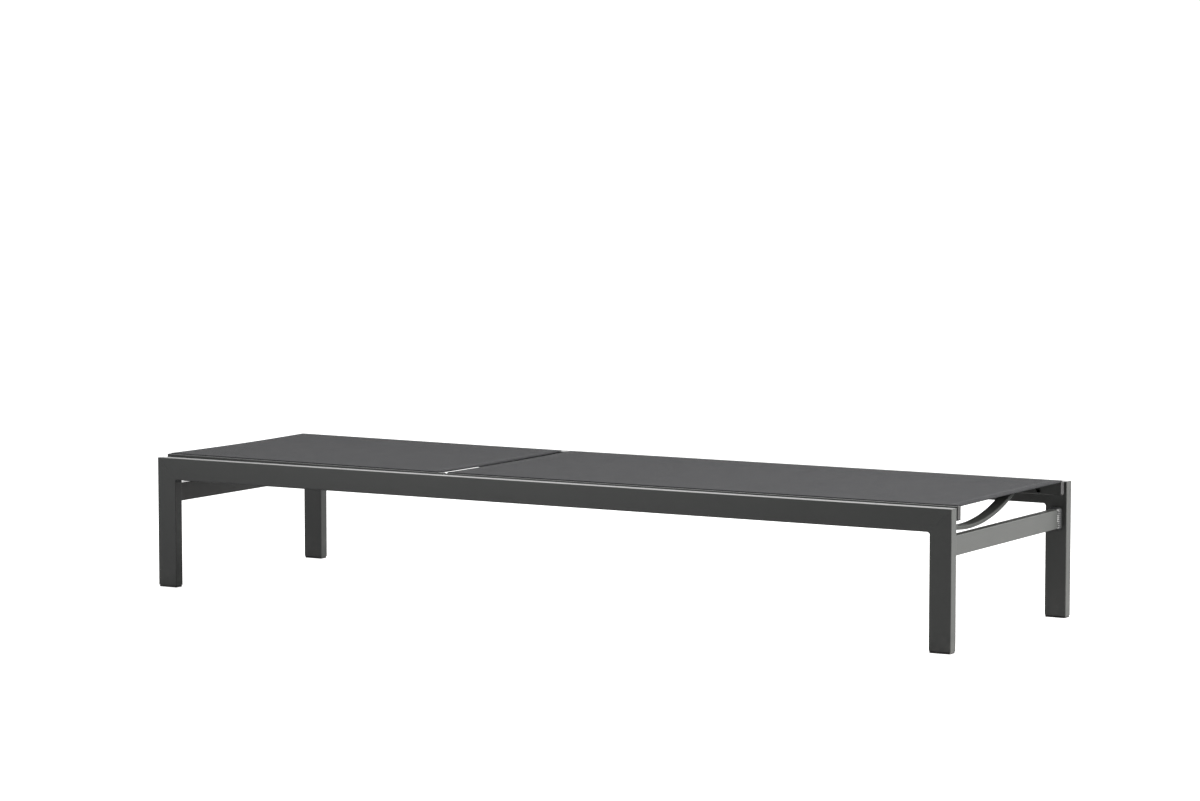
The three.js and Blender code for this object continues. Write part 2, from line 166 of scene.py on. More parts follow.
# Gives a finished piece its finish and its body, and hides the CAD nodes that it stands for.
def settle(piece, body, material, nodes=(), angle=35, even=True, level=True):
    if level and body != "frame":
        piece.data.transform(leanMatrix(body))
    smoothBy(piece, angle)
    if even:
        addModifier(piece, "WEIGHTED_NORMAL", keep_sharp=True)
    piece.data.materials.clear()
    piece.data.materials.append(material)
    if nodes:
        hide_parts(*nodes)
    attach(piece, body)


# Camera, light and floor.

def makeCamera():
    view = {"place": (4.2522, -7.2784, 1.2086), "azimuth": 30.319, "down": 5.14, "lens": 114.165}
    bpy.ops.object.camera_add(
        location=view["place"],
        rotation=(math.radians(90 - view["down"]), 0, math.radians(view["azimuth"])),
    )
    camera = bpy.context.object
    camera.name = "camera"
    camera.data.sensor_width = 36
    camera.data.lens = view["lens"]
    camera.data.clip_end = 100
    bpy.context.scene.camera = camera


# A studio that is bright behind and dim on the camera's side.
def makeWorld():
    studio = {"front": 0.03, "back": 2.2, "toBack": (-0.6, 0.8, 0), "dimFrom": -0.55, "backdrop": 1.1}
    world = bpy.data.worlds.new("studio")
    bpy.context.scene.world = world
    world.use_nodes = True
    nodes = world.node_tree.nodes
    links = world.node_tree.links
    nodes.clear()
    place = nodes.new("ShaderNodeTexCoord")
    along = nodes.new("ShaderNodeVectorMath")
    along.operation = "DOT_PRODUCT"
    along.inputs[1].default_value = studio["toBack"]
    links.new(place.outputs["Generated"], along.inputs[0])
    depth = nodes.new("ShaderNodeMapRange")
    depth.interpolation_type = "SMOOTHSTEP"
    depth.inputs["From Min"].default_value = studio["dimFrom"]
    depth.inputs["From Max"].default_value = 1.0
    depth.inputs["To Min"].default_value = studio["front"]
    depth.inputs["To Max"].default_value = studio["back"]
    links.new(along.outputs["Value"], depth.inputs["Value"])
    lit = nodes.new("ShaderNodeBackground")
    lit.inputs["Color"].default_value = (1, 1, 1, 1)
    links.new(depth.outputs["Result"], lit.inputs["Strength"])
    seen = nodes.new("ShaderNodeBackground")
    seen.inputs["Color"].default_value = (1, 1, 1, 1)
    seen.inputs["Strength"].default_value = studio["backdrop"]
    ray = nodes.new("ShaderNodeLightPath")
    mix = nodes.new("ShaderNodeMixShader")
    links.new(ray.outputs["Is Camera Ray"], mix.inputs["Fac"])
    links.new(lit.outputs[0], mix.inputs[1])
    links.new(seen.outputs[0], mix.inputs[2])
    out = nodes.new("ShaderNodeOutputWorld")
    links.new(mix.outputs[0], out.inputs["Surface"])
    bpy.context.scene.view_settings.view_transform = "Standard"


def addPanel(name, place, aim, size, power, colour=(1, 1, 1)):
    bpy.ops.object.light_add(type="AREA", location=place)
    panel = bpy.context.object
    panel.name = name
    panel.data.shape = "RECTANGLE"
    panel.data.size = size[0]
    panel.data.size_y = size[1]
    panel.data.energy = power
    panel.data.color = colour
    toward = Vector(aim) - Vector(place)
    panel.rotation_euler = toward.to_track_quat("-Z", "Y").to_euler()
    panel.visible_camera = False


def makeLights():
    addPanel("top_softbox", (0.3, 0.6, 3.4), (0.1, 0.1, 0.2), (4.5, 3.0), 70)
    addPanel("right_softbox", (4.6, 0.6, 1.8), (0.9, 0.0, 0.2), (2.6, 1.6), 580, (1, 0.985, 0.955))
    addPanel("left_fill", (-2.4, -3.9, 1.0), (-0.7, -0.3, 0.15), (2.0, 1.6), 40)


def makeFloor():
    look = {"size": 60, "grey": 0.36, "roughness": 0.85, "specular": 0.1, "glow": 0.95}
    deselectAll()
    bpy.ops.mesh.primitive_plane_add(size=look["size"], location=(0, 0, 0))
    floor = bpy.context.object
    floor.name = "floor"
    material = bpy.data.materials.new("pale_floor")
    material.use_nodes = True
    nodes = material.node_tree.nodes
    links = material.node_tree.links
    shader = nodes["Principled BSDF"]
    shader.inputs["Base Color"].default_value = (look["grey"], look["grey"], look["grey"], 1)
    shader.inputs["Roughness"].default_value = look["roughness"]
    shader.inputs["Specular IOR Level"].default_value = look["specular"]
    # The camera sees the floor nearly as bright as the backdrop, so only a faint shadow is left.
    shader.inputs["Emission Strength"].default_value = look["glow"]
    ray = nodes.new("ShaderNodeLightPath")
    links.new(ray.outputs["Is Camera Ray"], shader.inputs["Emission Color"])
    # From underneath the floor is clear.
    clear = nodes.new("ShaderNodeBsdfTransparent")
    under = nodes.new("ShaderNodeNewGeometry")
    mix = nodes.new("ShaderNodeMixShader")
    links.new(under.outputs["Backfacing"], mix.inputs["Fac"])
    links.new(shader.outputs[0], mix.inputs[1])
    links.new(clear.outputs[0], mix.inputs[2])
    links.new(mix.outputs[0], nodes["Material Output"].inputs["Surface"])
    floor.data.materials.append(material)


makeCamera()
makeWorld()
makeLights()
makeFloor()
print("camera, lights and floor made")


# Finishes. Effects that several of them share are node groups, built once.

class Nodes:
    def __init__(self, tree):
        self.tree = tree

    def add(self, kind, **values):
        node = self.tree.nodes.new("ShaderNode" + kind)
        for key, value in values.items():
            if hasattr(node, key):
                setattr(node, key, value)
            else:
                node.inputs[key.replace("_", " ")].default_value = value
        return node

    def link(self, start, end):
        self.tree.links.new(start, end)

    def sum(self, operation, first, second=None, third=None):
        node = self.add("Math", operation=operation)
        for socket, value in zip(node.inputs, (first, second, third)):
            if value is None:
                continue
            if isinstance(value, (int, float)):
                socket.default_value = value
            else:
                self.link(value, socket)
        return node.outputs[0]


def newGroup(name, inputs, outputs):
    tree = bpy.data.node_groups.new(name, "ShaderNodeTree")
    for label, kind, value in inputs:
        socket = tree.interface.new_socket(label, in_out="INPUT", socket_type="NodeSocket" + kind)
        socket.default_value = value
    for label, kind in outputs:
        tree.interface.new_socket(label, in_out="OUTPUT", socket_type="NodeSocket" + kind)
    return tree, Nodes(tree), tree.nodes.new("NodeGroupInput"), tree.nodes.new("NodeGroupOutput")


# Cloudy change of tone over the surface, with finer specks in it.
def makeToneGroup():
    tree, n, source, out = newGroup(
        "surfaceTone",
        [("Vector", "Vector", (0, 0, 0)), ("Colour", "Color", (0.5, 0.5, 0.5, 1)),
         ("Cloud Scale", "Float", 6.0), ("Speck Scale", "Float", 900.0),
         ("Cloud Amount", "Float", 0.1), ("Speck Amount", "Float", 0.1)],
        [("Colour", "Color"), ("Mask", "Float")],
    )
    cloud = n.add("TexNoise", Detail=4.0, Roughness=0.6)
    speck = n.add("TexNoise", Detail=2.0, Roughness=0.5)
    for texture, scale in ((cloud, "Cloud Scale"), (speck, "Speck Scale")):
        n.link(source.outputs["Vector"], texture.inputs["Vector"])
        n.link(source.outputs[scale], texture.inputs["Scale"])
    cloudPart = n.sum("MULTIPLY", n.sum("SUBTRACT", cloud.outputs[0], 0.5), source.outputs["Cloud Amount"])
    speckPart = n.sum("MULTIPLY", n.sum("SUBTRACT", speck.outputs[0], 0.5), source.outputs["Speck Amount"])
    tone = n.sum("ADD", n.sum("ADD", cloudPart, speckPart), 1.0)
    shade = n.add("HueSaturation")
    n.link(source.outputs["Colour"], shade.inputs["Color"])
    n.link(tone, shade.inputs["Value"])
    n.link(shade.outputs["Color"], out.inputs["Colour"])
    n.link(cloud.outputs[0], out.inputs["Mask"])
    return tree


# The fine orange peel of baked powder, or the spark texture of moulded plastic.
def makeGrainGroup():
    tree, n, source, out = newGroup(
        "surfaceGrain",
        [("Vector", "Vector", (0, 0, 0)), ("Scale", "Float", 1200.0), ("Strength", "Float", 0.1),
         ("Height", "Float", 0.0001), ("Roughness", "Float", 0.4), ("Spread", "Float", 0.1)],
        [("Normal", "Vector"), ("Roughness", "Float")],
    )
    coarse = n.add("TexNoise", Detail=2.0, Roughness=0.5)
    fine = n.add("TexNoise", Detail=2.0, Roughness=0.6)
    n.link(source.outputs["Vector"], coarse.inputs["Vector"])
    n.link(source.outputs["Vector"], fine.inputs["Vector"])
    n.link(source.outputs["Scale"], coarse.inputs["Scale"])
    n.link(n.sum("MULTIPLY", source.outputs["Scale"], 3.1), fine.inputs["Scale"])
    height = n.sum("ADD", coarse.outputs[0], n.sum("MULTIPLY", fine.outputs[0], 0.35))
    bump = n.add("Bump")
    n.link(height, bump.inputs["Height"])
    n.link(source.outputs["Strength"], bump.inputs["Strength"])
    n.link(source.outputs["Height"], bump.inputs["Distance"])
    n.link(bump.outputs["Normal"], out.inputs["Normal"])
    around = n.sum("MULTIPLY", n.sum("SUBTRACT", coarse.outputs[0], 0.5), source.outputs["Spread"])
    n.link(n.sum("ADD", source.outputs["Roughness"], around), out.inputs["Roughness"])
    return tree


# Dust that settles on what faces up and in the lowest part of the legs.
def makeDustGroup():
    tree, n, source, out = newGroup(
        "settledDust",
        [("Vector", "Vector", (0, 0, 0)), ("Colour", "Color", (0, 0, 0, 1)),
         ("Dust", "Color", (0.3, 0.28, 0.25, 1)), ("Amount", "Float", 0.05), ("Low", "Float", 0.08)],
        [("Colour", "Color"), ("Mask", "Float")],
    )
    patch = n.add("TexNoise", Scale=38.0, Detail=6.0, Roughness=0.65)
    n.link(source.outputs["Vector"], patch.inputs["Vector"])
    spots = n.add("MapRange")
    spots.inputs["From Min"].default_value = 0.42
    spots.inputs["From Max"].default_value = 0.72
    n.link(patch.outputs[0], spots.inputs["Value"])
    geometry = n.add("NewGeometry")
    up = n.add("SeparateXYZ")
    n.link(geometry.outputs["Normal"], up.inputs[0])
    facing = n.sum("MAXIMUM", up.outputs["Z"], 0.0)
    height = n.add("SeparateXYZ")
    n.link(source.outputs["Vector"], height.inputs[0])
    low = n.add("MapRange")
    low.inputs["From Min"].default_value = 0.0
    low.inputs["To Min"].default_value = 0.8
    low.inputs["To Max"].default_value = 0.0
    n.link(height.outputs["Z"], low.inputs["Value"])
    n.link(source.outputs["Low"], low.inputs["From Max"])
    place = n.sum("ADD", n.sum("MULTIPLY", facing, 0.5), low.outputs["Result"])
    mask = n.sum("MULTIPLY", n.sum("MULTIPLY", place, spots.outputs["Result"]), source.outputs["Amount"])
    mix = n.add("Mix", data_type="RGBA")
    n.link(mask, mix.inputs["Factor"])
    n.link(source.outputs["Colour"], mix.inputs[6])
    n.link(source.outputs["Dust"], mix.inputs[7])
    n.link(mix.outputs[2], out.inputs["Colour"])
    n.link(mask, out.inputs["Mask"])
    return tree


# Plain weave of coated yarn: round threads that pass over and under each other.
def makeWeaveGroup():
    tree, n, source, out = newGroup(
        "slingWeave",
        [("Vector", "Vector", (0, 0, 0)), ("Pitch", "Float", 0.0014), ("Depth", "Float", 0.0002),
         ("Strength", "Float", 0.6), ("Yarn", "Color", (0.06, 0.06, 0.065, 1)),
         ("GapShade", "Color", (0.012, 0.012, 0.014, 1)), ("Streak", "Float", 0.12)],
        [("Colour", "Color"), ("Normal", "Vector"), ("Thread", "Float")],
    )
    split = n.add("SeparateXYZ")
    n.link(source.outputs["Vector"], split.inputs[0])
    u = n.sum("DIVIDE", split.outputs["X"], source.outputs["Pitch"])
    v = n.sum("DIVIDE", split.outputs["Y"], source.outputs["Pitch"])

    def thread(across, along):
        centre = n.sum("SUBTRACT", n.sum("MULTIPLY", n.sum("FRACT", across), 2.0), 1.0)
        flat = n.sum("SUBTRACT", 1.0, n.sum("POWER", n.sum("ABSOLUTE", centre), 2.6))
        wave = n.sum("ADD", along, n.sum("FLOOR", across))
        over = n.sum("ADD", n.sum("MULTIPLY", n.sum("COSINE", n.sum("MULTIPLY", wave, math.pi)), 0.5), 0.5)
        return flat, over

    warp, warpOver = thread(u, v)
    weft, weftOver = thread(v, n.sum("ADD", u, 1.0))
    warpHeight = n.sum("MULTIPLY", warp, n.sum("ADD", n.sum("MULTIPLY", warpOver, 0.75), 0.25))
    weftHeight = n.sum("MULTIPLY", weft, n.sum("ADD", n.sum("MULTIPLY", weftOver, 0.75), 0.25))
    height = n.sum("MAXIMUM", warpHeight, weftHeight)

    # Single yarns differ a little, along both ways of the cloth.
    tones = []
    for across in (u, v):
        single = n.add("TexWhiteNoise", noise_dimensions="1D")
        n.link(n.sum("FLOOR", n.sum("MULTIPLY", across, 0.5)), single.inputs["W"])
        tones.append(n.sum("SUBTRACT", single.outputs["Value"], 0.5))
    streak = n.sum("MULTIPLY", n.sum("ADD", tones[0], tones[1]), source.outputs["Streak"])
    cloud = n.add("TexNoise", Scale=9.0, Detail=3.0)
    n.link(source.outputs["Vector"], cloud.inputs["Vector"])
    patch = n.sum("MULTIPLY", n.sum("SUBTRACT", cloud.outputs[0], 0.5), 0.22)
    # Between the threads the colour falls to the gap colour: painted shade for the dark seen in and through
    # the open weave.
    mix = n.add("Mix", data_type="RGBA")
    n.link(n.sum("POWER", height, 0.6), mix.inputs["Factor"])
    n.link(source.outputs["GapShade"], mix.inputs[6])
    n.link(source.outputs["Yarn"], mix.inputs[7])
    shade = n.add("HueSaturation")
    n.link(mix.outputs[2], shade.inputs["Color"])
    n.link(n.sum("ADD", n.sum("ADD", streak, patch), 1.0), shade.inputs["Value"])
    n.link(shade.outputs["Color"], out.inputs["Colour"])
    bump = n.add("Bump")
    n.link(height, bump.inputs["Height"])
    n.link(source.outputs["Strength"], bump.inputs["Strength"])
    n.link(source.outputs["Depth"], bump.inputs["Distance"])
    n.link(bump.outputs["Normal"], out.inputs["Normal"])
    n.link(height, out.inputs["Thread"])
    return tree


toneGroup = makeToneGroup()
grainGroup = makeGrainGroup()
dustGroup = makeDustGroup()
weaveGroup = makeWeaveGroup()


def newMaterial(name):
    material = bpy.data.materials.new(name)
    material.use_nodes = True
    n = Nodes(material.node_tree)
    return material, n, material.node_tree.nodes["Principled BSDF"], n.add("TexCoord").outputs["Object"]


def addGroup(n, tree, vector, **values):
    node = n.add("Group", node_tree=tree)
    n.link(vector, node.inputs["Vector"])
    for key, value in values.items():
        node.inputs[key.replace("_", " ")].default_value = value
    return node


# A hard surface from tone, grain and dust, each with this finish's own values.
def hardFinish(name, look):
    material, n, shader, place = newMaterial(name)
    tone = addGroup(n, toneGroup, place, Colour=(*look["colour"], 1), **look["tone"])
    grain = addGroup(n, grainGroup, place, **look["grain"])
    dust = addGroup(n, dustGroup, place, Amount=look["dust"])
    n.link(tone.outputs["Colour"], dust.inputs["Colour"])
    n.link(dust.outputs["Colour"], shader.inputs["Base Color"])
    n.link(grain.outputs["Roughness"], shader.inputs["Roughness"])
    n.link(grain.outputs["Normal"], shader.inputs["Normal"])
    for socket, value in look.get("shader", {}).items():
        shader.inputs[socket].default_value = value
    return material


powderCoat = hardFinish("powder_coat", {
    "colour": (0.0325, 0.0345, 0.0335),
    "tone": {"Cloud_Scale": 5.0, "Speck_Scale": 2600.0, "Cloud_Amount": 0.22, "Speck_Amount": 0.5},
    "grain": {"Scale": 1500.0, "Strength": 0.2, "Height": 0.0002, "Roughness": 0.37, "Spread": 0.16},
    "dust": 0.10,
    "shader": {"Specular IOR Level": 0.5},
})
# Weld coat: the powder coat painted about three times darker, as painted shade for the weld beads and the
# inner-corner fillets.
shadedWeldCoat = hardFinish("weld_coat_painted_shade", {
    "colour": (0.011, 0.012, 0.013),
    "tone": {"Cloud_Scale": 60.0, "Speck_Scale": 2600.0, "Cloud_Amount": 0.3, "Speck_Amount": 0.4},
    "grain": {"Scale": 900.0, "Strength": 0.3, "Height": 0.0003, "Roughness": 0.46, "Spread": 0.15},
    "dust": 0.06,
})
mouldedBlack = hardFinish("moulded_black", {
    "colour": (0.011, 0.011, 0.012),
    "tone": {"Cloud_Scale": 20.0, "Speck_Scale": 1800.0, "Cloud_Amount": 0.25, "Speck_Amount": 0.3},
    "grain": {"Scale": 2400.0, "Strength": 0.35, "Height": 0.0002, "Roughness": 0.55, "Spread": 0.2},
    "dust": 0.16,
})
stainless = hardFinish("stainless", {
    "colour": (0.52, 0.52, 0.53),
    "tone": {"Cloud_Scale": 90.0, "Speck_Scale": 4000.0, "Cloud_Amount": 0.2, "Speck_Amount": 0.15},
    "grain": {"Scale": 3800.0, "Strength": 0.12, "Height": 0.0001, "Roughness": 0.3, "Spread": 0.25},
    "dust": 0.05,
    "shader": {"Metallic": 1.0},
})
blackRubber = hardFinish("black_rubber", {
    "colour": (0.013, 0.013, 0.013),
    "tone": {"Cloud_Scale": 30.0, "Speck_Scale": 1500.0, "Cloud_Amount": 0.3, "Speck_Amount": 0.35},
    "grain": {"Scale": 1300.0, "Strength": 0.5, "Height": 0.0003, "Roughness": 0.78, "Spread": 0.15},
    "dust": 0.3,
})


def makeSlingCloth():
    # The gap colour is painted shade between and through the threads.
    look = {"Pitch": 1.5 * mm, "Depth": 0.3 * mm, "Strength": 0.55, "Streak": 0.14,
            "Yarn": (0.0200, 0.0207, 0.0230, 1), "GapShade": (0.006, 0.006, 0.007, 1)}
    gapRoughness = 0.9
    threadGloss = 0.12
    material, n, shader, place = newMaterial("sling_cloth")
    weave = addGroup(n, weaveGroup, place, **look)
    dust = addGroup(n, dustGroup, place, Amount=0.04)
    n.link(weave.outputs["Colour"], dust.inputs["Colour"])
    n.link(dust.outputs["Colour"], shader.inputs["Base Color"])
    n.link(weave.outputs["Normal"], shader.inputs["Normal"])
    gloss = n.sum("MULTIPLY", weave.outputs["Thread"], threadGloss)
    n.link(n.sum("SUBTRACT", gapRoughness, gloss), shader.inputs["Roughness"])
    shader.inputs["Specular IOR Level"].default_value = 0.14
    return material


# Twisted polyester thread for the hems.
def makeHemThread():
    material, n, shader, place = newMaterial("hem_thread")
    tone = addGroup(n, toneGroup, place, Colour=(0.045, 0.046, 0.05, 1), Cloud_Scale=120.0,
                    Speck_Scale=3000.0, Cloud_Amount=0.3, Speck_Amount=0.4)
    n.link(tone.outputs["Colour"], shader.inputs["Base Color"])
    twist = n.add("TexWave", Scale=900.0, Distortion=1.0)
    twist.bands_direction = "DIAGONAL"
    n.link(place, twist.inputs["Vector"])
    bump = n.add("Bump", Strength=0.5, Distance=0.0001)
    n.link(twist.outputs["Fac"], bump.inputs["Height"])
    n.link(bump.outputs["Normal"], shader.inputs["Normal"])
    shader.inputs["Roughness"].default_value = 0.7
    return material


slingCloth = makeSlingCloth()
hemThread = makeHemThread()
print("finishes made")


# Side frames.

tubeFrame = {"depth": 50 * mm, "legWidth": 50 * mm, "edge": 2 * mm, "edgeSteps": 4,
             "joint": 0.04 * mm, "seam": 0.14 * mm, "fillet": 6 * mm}
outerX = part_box("foot_left_leg")[1].x
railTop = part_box("left_rail")[1].z


def parallelTo(axis):
    def test(a, b):
        run = b - a
        return run.length > 1e-6 and abs(run[axis]) / run.length > 0.999
    return test


# A length of rectangular tube with its four long edges rounded.
def roundedTube(name, low, high, axis, edge, steps):
    piece = newBox(name, low, high)
    startEdit(piece, "EDGE")
    pickEdges(parallelTo(axis))
    bpy.ops.mesh.bevel(offset=edge, segments=steps, affect="EDGES")
    endEdit()
    return piece


# Cuts the mitre and breaks its rim, so that the joint shows as a fine line.
def cutMitre(piece, end, forRail):
    across = Vector((end * tubeFrame["depth"], 0, -tubeFrame["legWidth"])).normalized()
    corner = Vector((end * outerX, 0, railTop))
    shift = across * tubeFrame["joint"] / 2
    startEdit(piece, "EDGE")
    bpy.ops.mesh.select_all(action="SELECT")
    bpy.ops.mesh.bisect(
        plane_co=corner - shift if forRail else corner + shift,
        plane_no=across, use_fill=True, clear_outer=forRail, clear_inner=not forRail,
    )
    pickFaces(lambda face: abs(face.normal.dot(across)) > 0.999)
    bpy.ops.mesh.bevel(offset=tubeFrame["seam"], segments=2, affect="EDGES")
    endEdit()


def makeRail(side):
    low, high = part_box(side + "_rail")
    piece = roundedTube(
        side + "_rail_tube",
        (-outerX, low.y, railTop - tubeFrame["depth"]), (outerX, high.y, railTop),
        0, tubeFrame["edge"], tubeFrame["edgeSteps"],
    )
    for end in ends.values():
        cutMitre(piece, end, True)
    settle(piece, "frame", powderCoat, [side + "_rail"])


def makeLeg(end, side):
    node = f"{end}_{side}_leg"
    low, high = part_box(node)
    inner = ends[end] * (outerX - tubeFrame["legWidth"])
    outer = ends[end] * outerX
    piece = roundedTube(
        node + "_tube",
        (min(inner, outer), low.y, low.z), (max(inner, outer), high.y, railTop),
        2, tubeFrame["edge"], tubeFrame["edgeSteps"],
    )
    cutMitre(piece, ends[end], False)
    settle(piece, "frame", powderCoat, [node])


# The dressed weld in the inner corner: a block with its free edge hollowed to a quarter round.
def makeCornerWeld(end, side):
    low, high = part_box(f"{end}_{side}_leg")
    sign = ends[end]
    cornerX = sign * (outerX - tubeFrame["legWidth"])
    cornerZ = railTop - tubeFrame["depth"]
    reach = tubeFrame["fillet"]
    lap = 1 * mm
    xs = sorted((cornerX - sign * reach, cornerX + sign * lap))
    piece = newBox(
        f"{end}_{side}_corner_weld",
        (xs[0], low.y + tubeFrame["edge"], cornerZ - reach),
        (xs[1], high.y - tubeFrame["edge"], cornerZ + lap),
    )
    startEdit(piece, "EDGE")
    free = Vector((cornerX - sign * reach, 0, cornerZ - reach))
    pickEdges(lambda a, b: parallelTo(1)(a, b)
              and abs(a.x - free.x) < 1e-5 and abs(a.z - free.z) < 1e-5)
    bpy.ops.mesh.bevel(offset=reach, segments=8, profile=0.0858, affect="EDGES", clamp_overlap=False)
    endEdit()
    # The fillet takes the darkened weld coat, a painted shade in the inner corner.
    settle(piece, "frame", shadedWeldCoat, angle=50)


# A rippled weld bead that follows the rim of a tube's end.
def makeWeldBead(name, source, facing, body, bead):
    facing = Vector(facing)
    end = max(vertex.co.y * facing.y for vertex in source.data.vertices) * facing.y
    rim = copyOf(source, name)
    startEdit(rim, "FACE")
    pickFaces(lambda face: face.normal.dot(facing) < 0.99)
    bpy.ops.mesh.delete(type="FACE")
    bpy.ops.mesh.select_all(action="SELECT")
    bpy.ops.mesh.delete(type="ONLY_FACE")
    bpy.ops.mesh.select_mode(type="EDGE")
    for rounds in range(6):
        pickEdges(lambda a, b: (b - a).length > bead["pitch"] * 0.75)
        bpy.ops.mesh.subdivide(number_cuts=1)
    endEdit()
    rim.parent = None
    makeActive(rim)
    bpy.ops.object.convert(target="CURVE")
    curve = rim.data
    for spline in curve.splines:
        for i, point in enumerate(spline.points):
            point.radius = 1.0 + bead["ripple"] * math.cos(i * math.pi) + 0.05 * math.sin(i * 1.7)
    curve.bevel_depth = bead["radius"]
    curve.bevel_resolution = 2
    bpy.ops.object.convert(target="MESH")
    # The bead runs further along the tube than it stands up from it.
    for vertex in rim.data.vertices:
        vertex.co.y = end + (vertex.co.y - end) * bead["along"]
    # The bead takes the darkened weld coat, a painted shade.
    settle(rim, body, shadedWeldCoat, angle=60)


crossbarSet = {"edge": 2 * mm, "edgeSteps": 4}
crossbarBead = {"radius": 4.2 * mm, "pitch": 1.6 * mm, "ripple": 0.035, "along": 3.6}


def makeCrossbar(end):
    node = end + "_crossbar"
    low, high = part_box(node)
    piece = roundedTube(node + "_tube", low, high, 1, crossbarSet["edge"], crossbarSet["edgeSteps"])
    for side, sign in sides.items():
        makeWeldBead(f"{end}_crossbar_{side}_weld", piece, (0, sign, 0), "frame", crossbarBead)
    settle(piece, "frame", powderCoat, [node])


footCap = {"plate": 4 * mm, "corner": 4 * mm, "edge": 1.5 * mm, "rim": 5 * mm, "recess": 0.8 * mm,
           "panel": 2 * mm, "insert": 2.1 * mm}


# One cap is modelled and copied to the four legs.
def makeFootCaps():
    low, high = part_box("foot_left_foot_cap")
    plateTop = low.z + footCap["plate"]
    piece = newBox("cap", low, (high.x, high.y, plateTop))
    startEdit(piece, "FACE")
    pickFaces(lambda face: face.normal.z < -0.99)
    bpy.ops.mesh.inset(thickness=footCap["rim"])
    bpy.ops.mesh.extrude_region_move(TRANSFORM_OT_translate={"value": (0, 0, footCap["recess"])})
    bpy.ops.mesh.inset(thickness=footCap["panel"])
    bpy.ops.mesh.extrude_region_move(TRANSFORM_OT_translate={"value": (0, 0, -footCap["recess"] / 2)})
    pickFaces(lambda face: face.normal.z > 0.99)
    bpy.ops.mesh.inset(thickness=footCap["insert"])
    bpy.ops.mesh.extrude_region_move(TRANSFORM_OT_translate={"value": (0, 0, high.z - plateTop)})
    bpy.ops.mesh.select_mode(type="EDGE")
    middle = (Vector(low) + Vector(high)) / 2

    def outside(point):
        reach = footCap["corner"] / 2
        return (abs(point.x - middle.x) > high.x - middle.x - reach
                or abs(point.y - middle.y) > high.y - middle.y - reach)

    pickEdges(lambda a, b: outside(a) and outside(b) and parallelTo(2)(a, b))
    bpy.ops.mesh.bevel(offset=footCap["corner"], segments=4, affect="EDGES")
    pickEdges(lambda a, b: outside(a) and outside(b) and abs(a.z - b.z) < 1e-6)
    bpy.ops.mesh.bevel(offset=footCap["edge"], segments=3, affect="EDGES")
    endEdit()
    for end in ends:
        for side in sides:
            node = f"{end}_{side}_foot_cap"
            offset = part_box(node)[0] - low
            copy = copyOf(piece, node + "_moulding")
            copy.location = offset
            placeApply(copy)
            settle(copy, "frame", mouldedBlack, [node])
    bpy.data.objects.remove(piece)


for side in sides:
    makeRail(side)
    for end in ends:
        makeLeg(end, side)
        makeCornerWeld(end, side)
for end in ends:
    makeCrossbar(end)
makeFootCaps()
print("side frames, crossbars and foot caps made")


# Side tubes of the seat and backrest.

slingTube = {"edge": 2.5 * mm, "edgeSteps": 4, "grooveIn": 1.2 * mm, "grooveOut": 1.6 * mm,
             "grooveDeep": 6 * mm, "grooveLip": 0.4 * mm, "accessHole": 12 * mm, "accessDeep": 8.5 * mm}
plugSet = {"head": 3 * mm, "edge": 2.7 * mm, "edgeSteps": 4, "rim": 3 * mm, "wall": 1.8 * mm,
           "panelWide": 0.5 * mm, "panelDeep": 0.4 * mm}
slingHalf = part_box("seat_sling")[1].y


# The groove along the top of a side tube that holds the sling's edge.
def cutGroove(piece, sign, top):
    near = sign * (slingHalf - slingTube["grooveIn"])
    far = sign * (slingHalf + slingTube["grooveOut"])
    startEdit(piece, "FACE")
    for y in (near, far):
        bpy.ops.mesh.select_all(action="SELECT")
        bpy.ops.mesh.bisect(plane_co=(0, y, 0), plane_no=(0, 1, 0))
    lowY, highY = sorted((near, far))
    pickFaces(lambda face: face.normal.z > 0.99 and abs(face.calc_center_median().z - top) < 1e-5
              and lowY < face.calc_center_median().y < highY)
    bpy.ops.mesh.extrude_region_move(
        TRANSFORM_OT_translate={"value": (0, 0, -slingTube["grooveDeep"])})
    endEdit()
    # The groove's lips are broken a little.
    startEdit(piece, "EDGE")
    pickEdges(lambda a, b: parallelTo(0)(a, b) and abs(a.z - top) < 1e-5
              and (abs(a.y - near) < 1e-5 or abs(a.y - far) < 1e-5))
    bpy.ops.mesh.bevel(offset=slingTube["grooveLip"], segments=2, affect="EDGES")
    endEdit()


def roundCutter(diameter, start, end, x, z, vertices=32):
    deselectAll()
    bpy.ops.mesh.primitive_cylinder_add(
        vertices=vertices, radius=diameter / 2, depth=abs(end - start),
        location=(x, (start + end) / 2, z), rotation=(math.pi / 2, 0, 0))
    cutter = bpy.context.object
    placeApply(cutter)
    return cutter


def cutAway(piece, cutter):
    addModifier(piece, "BOOLEAN", operation="DIFFERENCE", object=cutter, solver="EXACT")
    bpy.data.objects.remove(cutter)


def makeSlingTube(node, body, side):
    low, high = levelBox(node, body)
    sign = sides[side]
    piece = roundedTube(node + "_profile", low, high, 0, slingTube["edge"], slingTube["edgeSteps"])
    cutGroove(piece, sign, high.z)
    if body == "frame":
        inner = min(abs(low.y), abs(high.y))
        for i in (1, 2, 3):
            boltLow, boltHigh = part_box(f"seat_{side}_bolt_{i}")
            middle = (boltLow + boltHigh) / 2
            cutAway(piece, roundCutter(
                slingTube["accessHole"], sign * (inner - 1 * mm), sign * (inner + slingTube["accessDeep"]),
                middle.x, middle.z))
    settle(piece, body, powderCoat, [node], angle=40)


